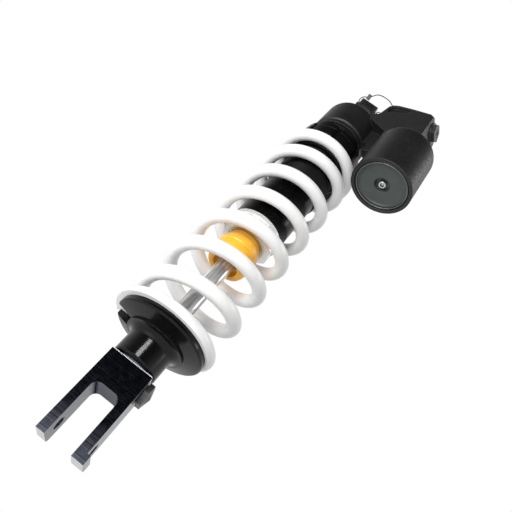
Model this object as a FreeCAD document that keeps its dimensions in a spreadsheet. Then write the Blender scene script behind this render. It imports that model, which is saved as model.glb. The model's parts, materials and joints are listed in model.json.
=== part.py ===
"""Rear shock absorber with piggyback reservoir, one solid per physical piece.

+Z runs along the shock from the lower bolt to the top bolt, +X along both bolts towards the
reservoir, -Y towards the front. The origin is the centre of the lower bolt hole. Sizes are in mm.
"""
import FreeCAD
import Part
import Sketcher
import math
import os
import re

DIMS = {
    # Lower clevis
    "ear_end": "-12.5",
    "clevis_top": "59.5",
    "clevis_width": "37",
    "clevis_thickness": "26",
    "slot_width": "22.6",
    "slot_top": "34",
    "slot_corner": "6",
    "lip_out": "2.7",
    "lip_height": "7",
    "bolt_hole_r": "5.1",
    "ear_round": "4",
    "edge_chamfer": "0.9",
    "neck_r": "15.5",
    "neck_top": "60.8",
    "run_gap": "0.05",
    "fit_gap": "0.03",
    # Rebound knob on the side of the clevis
    "knob_z": "49.2",
    "knob_flat": "8.7",
    "knob_height": "7",
    "knob_gap": "0.3",
    "knob_crown": "2.8",
    "spindle_r": "3",
    "spindle_tip_x": "-3",
    "spindle_cone_x": "1",
    "detent_r": "1.2",
    "detent_out": "6.4",
    "detent_depth": "7",
    # Shaft and the parts inside it
    "shaft_r": "8",
    "shaft_bore_r": "4",
    "shaft_bottom": "53.4",
    "shaft_thread_r": "7",
    "rod_bottom": "52.5",
    "rod_top": "302",
    "rod_tip": "4",
    # Bell and perch
    "bell_r": "19.5",
    "bell_flange_r": "26.4",
    "bell_flange_z": "84.4",
    "bell_flare": "6.7",
    "perch_seat": "86.5",
    "bell_hub_r": "18.4",
    "bell_hub_top": "93.6",
    "perch_r": "41.2",
    "perch_rim_low": "89.2",
    "perch_top": "94.5",
    "perch_bevel": "1.2",
    "perch_shoulder_r": "33.2",
    "perch_shoulder_top": "98.5",
    "perch_recess_r": "26",
    "perch_slot": "17.6",
    # Coil spring
    "coil_r": "40",
    "wire_r": "6.3",
    "spring_top": "354.5",
    "coil_pitch": "38.9",
    "closed_pitch": "7",
    "tip_inset": "1",
    "first_turn": "-0.3",
    "first_active": "0.27",
    "last_active": "6.73",
    "last_turn": "7.3",
    # Bump stop and end cap
    "bump_bottom": "181",
    "bump_top": "214",
    "bump_r": "20.2",
    "bump_waist_r": "16.8",
    "bump_bore_r": "8.6",
    "bump_mouth_r": "12.5",
    "bump_mouth_depth": "8",
    "bump_washer_r": "19.4",
    "cap_bottom": "216.5",
    "cap_rim_low": "228.5",
    "tube_bottom": "232.5",
    "cap_flat": "24.4",
    "cap_plug_top": "262",
    "cap_plug_r": "22.95",
    "wiper_top": "222.5",
    "wiper_r": "12",
    "seal_low": "233",
    "seal_high": "240",
    "seal_r": "13",
    "bush_low": "244",
    "bush_high": "257",
    "bush_r": "9.5",
    "cap_ring_z": "250",
    "ring_section_r": "1.3",
    # Damper tube
    "tube_r": "26.8",
    "tube_bore_r": "23",
    "thread_low": "302",
    "thread_r": "28.5",
    "tube_top": "424",
    # Piston stack
    "bumper_bottom": "262.2",
    "bumper_top": "275",
    "bumper_r": "13",
    "plate_top": "277",
    "plate_r": "15",
    "spigot_r": "6",
    "rebound_stack_top": "280.6",
    "piston_top": "293",
    "piston_r": "22.6",
    "band_r": "22.95",
    "band_depth": "1",
    "band_height": "7",
    "stack_r": "17",
    "compression_stack_top": "296.6",
    "nut_top": "304",
    "nut_flat": "9.5",
    "shaft_top": "306",
    # Spring seat and rings
    "seat_flange_r": "43.5",
    "seat_flange_top": "358",
    "seat_sleeve_r": "33.2",
    "seat_sleeve_low": "350",
    "seat_top": "365",
    "washer_top": "366",
    "ring_bore_r": "28.55",
    "preload_r": "37.5",
    "preload_top": "381",
    "lock_gap": "0.1",
    "lock_r": "36.5",
    "lock_top": "390",
    "notch_width": "6",
    "notch_depth": "2.6",
    # Head casting
    "skirt_bottom": "403",
    "skirt_r": "31",
    "skirt_step": "409.5",
    "head_r": "32.6",
    "head_top": "454",
    "head_round": "9",
    "reservoir_x": "69.6",
    "reservoir_y": "-45",
    "reservoir_r": "31.6",
    "reservoir_bottom": "335.5",
    "reservoir_top": "406",
    "reservoir_round": "9",
    "reservoir_bore_r": "26",
    "reservoir_bore_top": "400",
    "arm_z": "451",
    "arm_end": "96",
    "arm_width": "34",
    "arm_edge_round": "5",
    "hollow_depth": "3",
    "rib_width": "10",
    "rib_low": "393",
    "rib_start": "38",
    # Top eye
    "eye_z": "485",
    "eye_r": "16.5",
    "eye_half_width": "11",
    "eye_bore_r": "10.4",
    "eye_plan_r": "16.6",
    "neck_half_x": "10.5",
    "neck_half_y": "13",
    "race_half_width": "6.5",
    "ball_r": "8.6",
    "ball_half_width": "7.2",
    "pin_bore_r": "6.05",
    "spacer_end_x": "14",
    "spacer_r": "9.8",
    "spacer_foot_r": "7.8",
    "spacer_groove": "0.9",
    "circlip_x": "7.6",
    "circlip_width": "1.2",
    "circlip_depth": "0.9",
    "circlip_r": "8.9",
    "seal_ring_r": "10.37",
    "seal_ring_start": "9.4",
    "tie_r": "0.55",
    "tie_reach": "31.2",
    "tie_lean": "45",
    "tie_x": "12.9",
    "tie_seat_r": "9.8",
    # Gas side of the reservoir
    "gas_cap_bottom": "337.5",
    "gas_cap_top": "349",
    "gas_cap_recess_r": "23",
    "gas_cap_recess": "1",
    "gas_cup_r": "7.4",
    "gas_cup_depth": "5.5",
    "gas_ring_r": "1.1",
    "gas_ring_z": "345",
    "circlip_wire_r": "0.8",
    "circlip_wire_z": "336.4",
    "valve_r": "3.9",
    "valve_bottom": "338.3",
    "valve_top": "352",
    "valve_bore_r": "2.1",
    "valve_pin_r": "0.9",
    "floating_bottom": "372",
    "floating_top": "388",
    "floating_r": "25.7",
    "floating_band_r": "25.95",
    "floating_ring_z": "376",
    "floating_band_low": "380",
    "floating_band_high": "385",
    # Compression adjuster at the end of the bridge
    "adjuster_bore_r": "9",
    "adjuster_depth": "30",
    "adjuster_flange_r": "11.2",
    "adjuster_flange": "1.6",
    "high_speed_flat": "9.2",
    "high_speed_length": "3.6",
    "low_speed_r": "4",
    "low_speed_length": "5",
    "low_speed_root": "8",
    "needle_r": "2",
    "needle_length": "14",
    "driver_slot_width": "1.6",
    "driver_slot_depth": "1.8",
}

doc = FreeCAD.newDocument("RearShock")
sheet = doc.addObject("Spreadsheet::Sheet", "Dims")
for row, (alias, text) in enumerate(DIMS.items(), start=1):
    sheet.set(f"A{row}", alias)
    sheet.set(f"B{row}", text)
    sheet.setAlias(f"B{row}", alias)
doc.recompute()

Vector = FreeCAD.Vector
nodes = []


def bound(formula):
    """Return the formula with every sheet name written as the sheet's own property."""
    return re.sub(r"[a-z]\w*", r"Dims.\g<0>", formula)


def size(formula):
    """Return the value of a formula made of sheet names and plain numbers."""
    return float(sheet.evalExpression(bound(formula)))


def keep(thing, name):
    """Name a finished piece and put it on the list to export."""
    thing.Label = name
    nodes.append(thing)
    return thing


def new_body(name):
    return keep(doc.addObject("PartDesign::Body", name), name)


def new_sketch(body, plane, lift="0"):
    """Add a sketch on one of the body's own origin planes, lifted along the plane's normal."""
    sketch = body.newObject("Sketcher::SketchObject", f"{body.Name}_sketch")
    origin_plane = next(item for item in body.Origin.OriginFeatures if item.Role == plane)
    sketch.AttachmentSupport = (origin_plane, [""])
    sketch.MapMode = "FlatFace"
    sketch.setExpression("AttachmentOffset.Base.z", bound(lift))
    return sketch


def toward_reservoir(reach):
    """Return the X and Y of a point at the given reach from the shock axis towards the reservoir's axis."""
    run = math.hypot(size("reservoir_x"), size("reservoir_y"))
    along_x = size("reservoir_x") / run
    along_y = size("reservoir_y") / run
    return f"({reach}) * {along_x:.6f}", f"({reach}) * {along_y:.6f}"


def swung_sketch(body, plane, reach="0"):
    """Add a sketch on an upright plane swung about Z towards the reservoir, moved along its own normal."""
    sketch = new_sketch(body, plane)
    swing = math.degrees(math.atan2(size("reservoir_y"), size("reservoir_x")))
    sketch.AttachmentOffset = FreeCAD.Placement(Vector(), FreeCAD.Rotation(Vector(0, 1, 0), swing))
    along_x, along_y = toward_reservoir(reach)
    sketch.setExpression("AttachmentOffset.Base.x", bound(along_y))
    sketch.setExpression("AttachmentOffset.Base.z", bound(along_x))
    return sketch


def tie_point(sketch, line, end, across, up):
    """Fix one end of a line at sheet-driven distances from the sketch's origin."""
    for kind, formula, axis in (("DistanceX", across, -2), ("DistanceY", up, -1)):
        value = size(formula)
        if abs(value) < 1e-9:
            sketch.addConstraint(Sketcher.Constraint("PointOnObject", line, end, axis))
            continue
        index = sketch.addConstraint(Sketcher.Constraint(kind, -1, 1, line, end, value))
        sketch.setExpression(f"Constraints[{index}]", bound(formula))


def draw_outline(sketch, corners):
    """Draw a closed outline of straight lines through (across, up) corners."""
    places = [Vector(size(across), size(up), 0) for across, up in corners]
    first = sketch.GeometryCount
    count = len(corners)
    for index, place in enumerate(places):
        sketch.addGeometry(Part.LineSegment(place, places[(index + 1) % count]), False)
    for index in range(count):
        following = first + (index + 1) % count
        sketch.addConstraint(Sketcher.Constraint("Coincident", first + index, 2, following, 1))
    for index, (across, up) in enumerate(corners):
        tie_point(sketch, first + index, 1, across, up)


def draw_circle(sketch, radius, across="0", up="0"):
    centre = Vector(size(across), size(up), 0)
    circle = sketch.addGeometry(Part.Circle(centre, Vector(0, 0, 1), size(radius)), False)
    index = sketch.addConstraint(Sketcher.Constraint("Radius", circle, size(radius)))
    sketch.setExpression(f"Constraints[{index}]", bound(radius))
    tie_point(sketch, circle, 3, across, up)


def draw_polygon(sketch, sides, flat):
    """Draw a regular polygon about the sketch's origin, given its distance from centre to flat."""
    corners = []
    for index in range(sides):
        angle = math.pi * (2 * index + 1) / sides
        reach = 1 / math.cos(math.pi / sides)
        corners.append((f"({flat}) * {reach * math.cos(angle):.6f}",
                        f"({flat}) * {reach * math.sin(angle):.6f}"))
    draw_outline(sketch, corners)


def turn(body, corners):
    """Turn an outline of (radius, height) corners about the body's Z axis."""
    sketch = new_sketch(body, "XZ_Plane")
    draw_outline(sketch, corners)
    feature = body.newObject("PartDesign::Revolution", f"{body.Name}_turn")
    feature.Profile = sketch
    feature.ReferenceAxis = (sketch, ["V_Axis"])
    feature.Angle = 360
    return feature


def turned(name, corners):
    body = new_body(name)
    turn(body, corners)
    return body


def tube(name, inner, outer, low, high):
    """Make a plain ring or, with an inner radius of 0, a plain disc."""
    return turned(name, [(inner, low), (outer, low), (outer, high), (inner, high)])


def groove_out(body, corners):
    """Turn an outline about the body's Z axis and take it away."""
    sketch = new_sketch(body, "XZ_Plane")
    draw_outline(sketch, corners)
    feature = body.newObject("PartDesign::Groove", f"{body.Name}_groove")
    feature.Profile = sketch
    feature.ReferenceAxis = (sketch, ["V_Axis"])
    feature.Angle = 360
    return feature


def pad(body, sketch, length, both_ways=False):
    feature = body.newObject("PartDesign::Pad", f"{body.Name}_pad")
    feature.Profile = sketch
    feature.setExpression("Length", bound(length))
    feature.Midplane = both_ways
    return feature


def pocket(body, sketch, length, reverse=False, both_ways=False):
    """Take a sketch's outline away; plain is against the sketch's normal, reverse is along it."""
    feature = body.newObject("PartDesign::Pocket", f"{body.Name}_pocket")
    feature.Profile = sketch
    feature.setExpression("Length", bound(length))
    feature.Midplane = both_ways
    feature.Reversed = reverse
    return feature


def ring_pattern(body, feature, sketch, count):
    """Repeat a cut evenly about the normal through the sketch's origin."""
    pattern = body.newObject("PartDesign::PolarPattern", f"{body.Name}_pattern")
    pattern.Originals = [feature]
    pattern.Axis = (sketch, ["N_Axis"])
    pattern.Angle = 360
    pattern.Occurrences = count
    body.Tip = pattern
    return pattern


def edges_where(body, test):
    """Name the edges of the body's present shape that pass a test of their bounding box."""
    doc.recompute()
    edges = body.Tip.Shape.Edges
    return [f"Edge{index + 1}" for index, edge in enumerate(edges) if test(edge.BoundBox)]


def soften(body, kind, amount, test):
    """Fillet or chamfer the edges that pass a test."""
    names = edges_where(body, test)
    base = body.Tip
    feature = body.newObject(f"PartDesign::{kind}", f"{body.Name}_{kind}")
    feature.Base = (base, names)
    feature.setExpression("Radius" if kind == "Fillet" else "Size", bound(amount))
    doc.recompute()
    return feature


def near(value, formula):
    return abs(value - size(formula)) < 0.01


def flat_edge_at(height):
    """Make a test for edges that lie in one level plane."""
    return lambda box: near(box.ZMin, height) and near(box.ZMax, height)


def lay_along_x(thing, start_x, across_y, height):
    """Turn a piece made about Z so that its axis lies along X, and put it in its place."""
    turn_down = FreeCAD.Rotation(Vector(0, 1, 0), 90)
    thing.Placement = FreeCAD.Placement(Vector(size(start_x), size(across_y), size(height)), turn_down)
    thing.setExpression("Placement.Base.x", bound(start_x))
    thing.setExpression("Placement.Base.y", bound(across_y))
    thing.setExpression("Placement.Base.z", bound(height))


def lay_along_arm(thing, height):
    """Turn a piece made about Z so that its axis runs out along the arm from the arm's end."""
    swing = math.degrees(math.atan2(size("reservoir_y"), size("reservoir_x")))
    turn_down = FreeCAD.Rotation(Vector(0, 0, 1), swing).multiply(FreeCAD.Rotation(Vector(0, 1, 0), 90))
    thing.Placement = FreeCAD.Placement(Vector(), turn_down)
    along_x, along_y = toward_reservoir("arm_end")
    thing.setExpression("Placement.Base.x", bound(along_x))
    thing.setExpression("Placement.Base.y", bound(along_y))
    thing.setExpression("Placement.Base.z", bound(height))


def both_sides(name, body):
    """Keep a body and its mirror image across the YZ plane as one node of two solids."""
    nodes.remove(body)
    body.Label = f"{name}_right"
    mirror = doc.addObject("Part::Mirroring", f"{name}_left")
    mirror.Source = body
    mirror.Normal = Vector(1, 0, 0)
    pair = doc.addObject("Part::Compound", name)
    pair.Links = [body, mirror]
    return keep(pair, name)


def seal_ring(name, ring_radius, height, section):
    """Make a round rubber ring about the Z axis."""
    ring = doc.addObject("Part::Torus", name)
    ring.setExpression("Radius1", bound(ring_radius))
    ring.setExpression("Radius2", bound(section))
    ring.setExpression("Placement.Base.z", bound(height))
    return keep(ring, name)


# ---------------------------------------------------------------- lower end


def make_clevis():
    body = new_body("lower_clevis")
    side = "clevis_width / 2"
    slot = "slot_width / 2"
    sketch = new_sketch(body, "XZ_Plane")
    draw_outline(sketch, [
        (f"-{slot}", "ear_end"),
        (f"-{slot}", "slot_top"),
        (slot, "slot_top"),
        (slot, "ear_end"),
        (f"{side} + lip_out", "ear_end"),
        (f"{side} + lip_out", "ear_end + lip_height"),
        (side, "ear_end + lip_height"),
        (side, "clevis_top"),
        (f"-{side}", "clevis_top"),
        (f"-{side}", "ear_end"),
    ])
    pad(body, sketch, "clevis_thickness", both_ways=True)

    def slot_corner(box):
        return near(box.ZMin, "slot_top") and near(box.ZMax, "slot_top") and box.XLength < 0.01

    def ear_back(box):
        return near(box.ZMin, "ear_end") and near(box.ZMax, "ear_end") and near(box.YMin, "clevis_thickness / 2")

    soften(body, "Fillet", "slot_corner", slot_corner)
    soften(body, "Fillet", "ear_round", ear_back)
    soften(body, "Chamfer", "edge_chamfer", flat_edge_at("clevis_top"))
    neck = new_sketch(body, "XY_Plane", "clevis_top")
    draw_circle(neck, "neck_r")
    pad(body, neck, "neck_top - clevis_top")
    bolt = new_sketch(body, "YZ_Plane")
    draw_circle(bolt, "bolt_hole_r")
    pocket(body, bolt, "clevis_width * 2", both_ways=True)
    thread = new_sketch(body, "XY_Plane", "neck_top")
    draw_circle(thread, "shaft_thread_r + fit_gap")
    pocket(body, thread, "neck_top - shaft_bottom")
    rod_well = new_sketch(body, "XY_Plane", "shaft_bottom")
    draw_circle(rod_well, "shaft_bore_r + run_gap")
    pocket(body, rod_well, "shaft_bottom - knob_z")
    spindle = new_sketch(body, "YZ_Plane", side)
    draw_circle(spindle, "spindle_r + run_gap", "0", "knob_z")
    pocket(body, spindle, f"{side} - spindle_tip_x + 1")
    detent = new_sketch(body, "YZ_Plane", side)
    draw_circle(detent, "detent_r + run_gap", "0", "knob_z - detent_out")
    pocket(body, detent, "detent_depth")
    return body


def make_knob():
    """Six-sided knob with a crowned end and a cone-tipped spindle; its axis is laid along X."""
    body = turned("rebound_knob", [
        ("0", "spindle_tip_x"),
        ("0.4", "spindle_tip_x"),
        ("spindle_r - 0.4", "spindle_cone_x"),
        ("spindle_r", "spindle_cone_x + 1"),
        ("spindle_r", "clevis_width / 2 + knob_gap"),
        ("knob_flat - 1", "clevis_width / 2 + knob_gap"),
        ("knob_flat - 1", "clevis_width / 2 + knob_gap + 0.5"),
        ("0", "clevis_width / 2 + knob_gap + 0.5"),
    ])
    rim = new_sketch(body, "XY_Plane", "clevis_width / 2 + knob_gap + 0.5")
    draw_polygon(rim, 6, "knob_flat")
    pad(body, rim, "knob_height - 0.5")
    crown = "clevis_width / 2 + knob_gap + knob_height"
    groove_out(body, [
        ("0.6", crown),
        ("knob_flat * 1.2", f"{crown} - knob_crown"),
        ("knob_flat * 1.2", f"{crown} + 1"),
        ("0.6", f"{crown} + 1"),
    ])
    lay_along_x(body, "0", "0", "knob_z")
    return body


def make_detent():
    """Click ball that bears on the knob, and the coil behind it."""
    ball = doc.addObject("Part::Sphere", "detent_ball")
    ball.setExpression("Radius", bound("detent_r"))
    ball.setExpression("Placement.Base.x", bound("clevis_width / 2 + knob_gap - detent_r - run_gap"))
    ball.setExpression("Placement.Base.z", bound("knob_z - detent_out"))
    keep(ball, "detent_ball")
    wire = 0.22
    room = size("detent_depth + knob_gap - detent_r * 2") - 0.5
    turns = 4
    helix = Part.makeHelix((room - 2 * wire) / turns, room - 2 * wire, size("detent_r") - 2 * wire)
    start = Vector(size("detent_r") - 2 * wire, 0, 0)
    circle = Part.Wire(Part.makeCircle(wire, start, Vector(0, 1, 0)))
    coil = Part.Wire(helix.Edges).makePipeShell([circle], True, True)
    spring = doc.addObject("Part::Feature", "detent_spring")
    spring.Shape = coil
    back_x = size("clevis_width / 2 - detent_depth") + wire + 0.1
    height = size("knob_z - detent_out")
    spring.Placement = FreeCAD.Placement(Vector(back_x, 0, height), FreeCAD.Rotation(Vector(0, 1, 0), 90))
    keep(spring, "detent_spring")


def make_shaft():
    turned("chrome_shaft", [
        ("shaft_bore_r", "shaft_bottom"),
        ("shaft_thread_r", "shaft_bottom"),
        ("shaft_thread_r", "neck_top"),
        ("shaft_r", "neck_top"),
        ("shaft_r", "plate_top"),
        ("spigot_r", "plate_top"),
        ("spigot_r", "shaft_top"),
        ("shaft_bore_r", "shaft_top"),
    ])
    turned("rebound_rod", [
        ("0", "rod_bottom"),
        ("shaft_bore_r - run_gap", "rod_bottom"),
        ("shaft_bore_r - run_gap", "rod_top - rod_tip"),
        ("1", "rod_top"),
        ("0", "rod_top"),
    ])


def make_bell():
    body = turned("shaft_bell", [
        ("shaft_r + fit_gap", "neck_top"),
        ("bell_r - edge_chamfer", "neck_top"),
        ("bell_r", "neck_top + edge_chamfer"),
        ("bell_r", "bell_flange_z"),
        ("bell_flange_r", "bell_flange_z"),
        ("bell_flange_r", "perch_seat"),
        ("bell_hub_r", "perch_seat"),
        ("bell_hub_r", "bell_hub_top"),
        ("shaft_r + fit_gap", "bell_hub_top"),
    ])

    def flare_corner(box):
        return near(box.ZMin, "bell_flange_z") and near(box.ZMax, "bell_flange_z") and near(box.XMax, "bell_r")

    soften(body, "Fillet", "bell_flare", flare_corner)
    return body


def make_perch():
    """Retainer disc with a slot so that it can be slipped over the shaft."""
    body = turned("spring_perch", [
        ("bell_hub_r + fit_gap", "perch_seat"),
        ("bell_flange_r + 1", "perch_seat"),
        ("perch_r - perch_bevel", "perch_rim_low"),
        ("perch_r", "perch_rim_low + perch_bevel"),
        ("perch_r", "perch_top"),
        ("perch_shoulder_r", "perch_top"),
        ("perch_shoulder_r", "perch_shoulder_top - 1"),
        ("perch_shoulder_r - 1", "perch_shoulder_top"),
        ("perch_recess_r", "perch_shoulder_top"),
        ("perch_recess_r - 2", "bell_hub_top"),
        ("bell_hub_r + fit_gap", "bell_hub_top"),
    ])
    slot = new_sketch(body, "XY_Plane", "perch_shoulder_top")
    half = "perch_slot / 2"
    draw_outline(slot, [
        ("-perch_r - 2", f"-{half}"),
        ("0", f"-{half}"),
        ("0", half),
        ("-perch_r - 2", half),
    ])
    pocket(body, slot, "perch_shoulder_top - perch_seat + 1")
    return body


def make_coil_spring():
    """Right-hand coil spring with closed ends ground flat on both seats."""
    radius = size("coil_r")
    wire_r = size("wire_r")
    low = size("perch_top")
    high = size("spring_top")
    first, start, stop, last = (size(name) for name in ("first_turn", "first_active", "last_active", "last_turn"))

    def raw_height(place):
        closed = size("closed_pitch")
        lower = min(place, start) - first
        middle = min(max(place, start), stop) - start
        upper = max(place, stop) - stop
        return low + size("tip_inset") + closed * (lower + upper) + size("coil_pitch") * middle

    def height(place):
        """Average over part of a turn, so that the pitch changes gently."""
        reach = 0.12
        samples = [raw_height(place + reach * step / 3) for step in range(-3, 4)]
        return sum(samples) / len(samples)

    steps = 14 * round(last - first) + 4
    points = []
    for index in range(steps + 1):
        place = first + (last - first) * index / steps
        angle = 2 * math.pi * (place - 0.25)
        points.append(Vector(radius * math.cos(angle), radius * math.sin(angle), height(place)))
    curve = Part.BSplineCurve()
    curve.interpolate(points)
    path = Part.Wire(curve.toShape())
    circle = Part.Wire(Part.makeCircle(wire_r, points[0], curve.tangent(curve.FirstParameter)[0]))
    wire = path.makePipeShell([circle], True, True)
    reach = radius + wire_r + 5
    slab = Part.makeBox(2 * reach, 2 * reach, high - low, Vector(-reach, -reach, low))
    spring = doc.addObject("Part::Feature", "coil_spring")
    spring.Shape = wire.common(slab)
    keep(spring, "coil_spring")


# ---------------------------------------------------------------- damper


def make_bump_stop():
    turned("bump_stop", [
        ("bump_bore_r", "bump_bottom + bump_mouth_depth"),
        ("bump_mouth_r", "bump_bottom + bump_mouth_depth - 2"),
        ("bump_mouth_r", "bump_bottom"),
        ("bump_r - 2.7", "bump_bottom"),
        ("bump_r - 0.6", "bump_bottom + 3"),
        ("bump_r", "bump_bottom + 11"),
        ("bump_r - 0.3", "bump_bottom + 18"),
        ("bump_r - 1.1", "bump_bottom + 19"),
        ("bump_r - 0.3", "bump_bottom + 20"),
        ("bump_r - 0.6", "bump_bottom + 24.5"),
        ("bump_r - 1.9", "bump_top - 4"),
        ("bump_waist_r", "bump_top - 2.5"),
        ("bump_waist_r - 0.4", "bump_top"),
        ("bump_bore_r", "bump_top"),
    ])
    tube("bump_washer", "bump_bore_r", "bump_washer_r", "bump_top", "cap_bottom")


def make_seal_head():
    """Screwed end cap with eight spanner flats, holding wiper, seal and bush."""
    body = turned("seal_head", [
        ("bump_bore_r", "cap_bottom"),
        ("tube_r - 1", "cap_bottom"),
        ("tube_r", "cap_bottom + 1"),
        ("tube_r", "tube_bottom"),
        ("cap_plug_r", "tube_bottom"),
        ("cap_plug_r", "cap_plug_top"),
        ("bush_r + 1", "cap_plug_top"),
        ("bush_r + 1", "bush_high"),
        ("bump_bore_r", "bush_high"),
    ])
    flats = new_sketch(body, "XY_Plane", "cap_rim_low")
    draw_circle(flats, "tube_r + 3")
    draw_polygon(flats, 8, "cap_flat")
    pocket(body, flats, "cap_rim_low - cap_bottom + 1")
    seats = (
        ("wiper_r + fit_gap", "cap_bottom", "wiper_top"),
        ("seal_r + fit_gap", "seal_low", "seal_high"),
        ("bush_r + fit_gap", "bush_low", "bush_high"),
    )
    for seat_r, seat_low, seat_high in seats:
        groove_out(body, [
            ("shaft_r - 1", seat_low), (seat_r, seat_low), (seat_r, seat_high), ("shaft_r - 1", seat_high),
        ])
    ring_low = "cap_ring_z - ring_section_r - fit_gap"
    ring_high = "cap_ring_z + ring_section_r + fit_gap"
    ring_root = "cap_plug_r - ring_section_r * 2"
    groove_out(body, [
        (ring_root, ring_low), ("cap_plug_r + 1", ring_low), ("cap_plug_r + 1", ring_high), (ring_root, ring_high),
    ])
    shaft_gap = "shaft_r + run_gap"
    turned("dust_wiper", [
        ("shaft_r + 1.6", "cap_bottom + 0.4"),
        ("wiper_r", "cap_bottom + 0.4"),
        ("wiper_r", "wiper_top"),
        (shaft_gap, "wiper_top"),
        (shaft_gap, "wiper_top - 3"),
    ])
    tube("oil_seal", shaft_gap, "seal_r", "seal_low", "seal_high")
    tube("guide_bushing", shaft_gap, "bush_r", "bush_low", "bush_high")
    seal_ring("seal_head_oring", "cap_plug_r - ring_section_r + 0.01", "cap_ring_z", "ring_section_r")
    return body


def make_tube():
    """Damper tube with a larger threaded length at the top, cut by one relief groove."""
    turned("body_tube", [
        ("tube_bore_r", "tube_bottom"),
        ("tube_r", "tube_bottom"),
        ("tube_r", "thread_low"),
        ("thread_r - 0.6", "thread_low + 1"),
        ("thread_r", "thread_low + 1.6"),
        ("thread_r", "tube_top"),
        ("tube_bore_r", "tube_top"),
    ])


def make_piston_stack():
    turned("topout_bumper", [
        ("shaft_r + run_gap", "bumper_bottom"),
        ("bumper_r - 2", "bumper_bottom"),
        ("bumper_r", "bumper_bottom + 3"),
        ("bumper_r", "bumper_top - 3"),
        ("bumper_r - 2", "bumper_top"),
        ("shaft_r + run_gap", "bumper_top"),
    ])
    tube("topout_plate", "shaft_r + fit_gap", "plate_r", "bumper_top", "plate_top")
    make_shims("rebound_shims", "plate_top", "rebound_stack_top", growing=True)
    make_shims("compression_shims", "piston_top", "compression_stack_top", growing=False)
    body = tube("piston", "spigot_r + fit_gap", "piston_r", "rebound_stack_top", "piston_top")
    middle = "(rebound_stack_top + piston_top) / 2"
    band_low = f"{middle} - band_height / 2"
    band_high = f"{middle} + band_height / 2"
    band_root = "piston_r - band_depth"
    groove_out(body, [
        (band_root, band_low), ("piston_r + 1", band_low), ("piston_r + 1", band_high), (band_root, band_high),
    ])
    port = new_sketch(body, "XY_Plane", "piston_top")
    draw_circle(port, "2.2", "13")
    ports = pocket(body, port, "piston_top - rebound_stack_top + 1")
    ring_pattern(body, ports, port, 6)
    tube("piston_band", "piston_r - band_depth + fit_gap", "band_r", band_low, band_high)
    nut = new_body("piston_nut")
    hexagon = new_sketch(nut, "XY_Plane", "compression_stack_top")
    draw_polygon(hexagon, 6, "nut_flat")
    draw_circle(hexagon, "spigot_r + fit_gap")
    pad(nut, hexagon, "nut_top - compression_stack_top")


def make_shims(name, low, high, growing):
    """Make a stack of thin discs whose radius changes by even steps."""
    count = 6
    discs = []
    nodes_before = len(nodes)
    for index in range(count):
        smaller = count - 1 - index if growing else index
        disc_low = f"{low} + ({high} - {low}) * {index} / {count}"
        disc_high = f"{low} + ({high} - {low}) * {index + 1} / {count}"
        discs.append(tube(f"{name}_{index}", "spigot_r + fit_gap", f"stack_r - {smaller} * 1.5", disc_low, disc_high))
    del nodes[nodes_before:]
    stack = doc.addObject("Part::Compound", name)
    stack.Links = discs
    return keep(stack, name)


# ---------------------------------------------------------------- spring seat and rings


def make_spring_seat():
    turned("spring_seat", [
        ("ring_bore_r", "seat_sleeve_low"),
        ("seat_sleeve_r - 1.5", "seat_sleeve_low"),
        ("seat_sleeve_r", "seat_sleeve_low + 1.5"),
        ("seat_sleeve_r", "spring_top"),
        ("seat_flange_r", "spring_top"),
        ("seat_flange_r", "seat_flange_top - 0.8"),
        ("seat_flange_r - 0.8", "seat_flange_top"),
        ("seat_sleeve_r + 3", "seat_flange_top"),
        ("seat_sleeve_r + 1", "seat_top"),
        ("ring_bore_r", "seat_top"),
    ])
    tube("thrust_washer", "ring_bore_r", "seat_sleeve_r + 2", "seat_top", "washer_top")


def make_notched_ring(name, radius, low, high):
    """Make a ring with eight spanner notches cut through its rim."""
    body = turned(name, [
        ("ring_bore_r", low),
        (f"{radius} - 1", low),
        (radius, f"{low} + 1"),
        (radius, f"{high} - 1"),
        (f"{radius} - 1", high),
        ("ring_bore_r", high),
    ])
    notch = new_sketch(body, "XY_Plane", high)
    half = "notch_width / 2"
    draw_outline(notch, [
        (f"{radius} - notch_depth", f"-{half}"),
        (f"{radius} + 1", f"-{half}"),
        (f"{radius} + 1", half),
        (f"{radius} - notch_depth", half),
    ])
    cut = pocket(body, notch, f"{high} - {low} + 1")
    ring_pattern(body, cut, notch, 8)
    return body


# ---------------------------------------------------------------- head and top eye


def make_head():
    """One casting: damper head, web, reservoir can, bridge for the adjuster, and top eye."""
    body = new_body("head_casting")
    turn(body, [
        ("0", "skirt_bottom"),
        ("skirt_r", "skirt_bottom"),
        ("skirt_r", "skirt_step - 1.5"),
        ("head_r", "skirt_step"),
        ("head_r", "head_top"),
        ("0", "head_top"),
    ])
    soften(body, "Fillet", "head_round", flat_edge_at("head_top"))
    neck = new_sketch(body, "XY_Plane", "head_top - 4")
    draw_outline(neck, [
        ("-neck_half_x", "-neck_half_y"), ("neck_half_x", "-neck_half_y"),
        ("neck_half_x", "neck_half_y"), ("-neck_half_x", "neck_half_y"),
    ])
    pad(body, neck, "eye_z - head_top + 4")
    eye = new_sketch(body, "YZ_Plane")
    draw_circle(eye, "eye_r", "0", "eye_z")
    pad(body, eye, "eye_half_width * 2", both_ways=True)
    waste = new_sketch(body, "XY_Plane", "eye_z + eye_r + 1")
    draw_circle(waste, "eye_plan_r")
    draw_circle(waste, "eye_plan_r + 6")
    pocket(body, waste, "eye_z + eye_r - head_top")
    add_reservoir_can(body)
    add_bridge(body)
    add_rib(body)
    cut_head_bores(body)
    return body


def add_reservoir_can(body):
    can = new_sketch(body, "XY_Plane", "reservoir_bottom")
    draw_circle(can, "reservoir_r", "reservoir_x", "reservoir_y")
    pad(body, can, "reservoir_top - reservoir_bottom")

    def top_rim(box):
        return near(box.ZMin, "reservoir_top") and near(box.ZMax, "reservoir_top")

    soften(body, "Fillet", "reservoir_round", top_rim)


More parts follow.
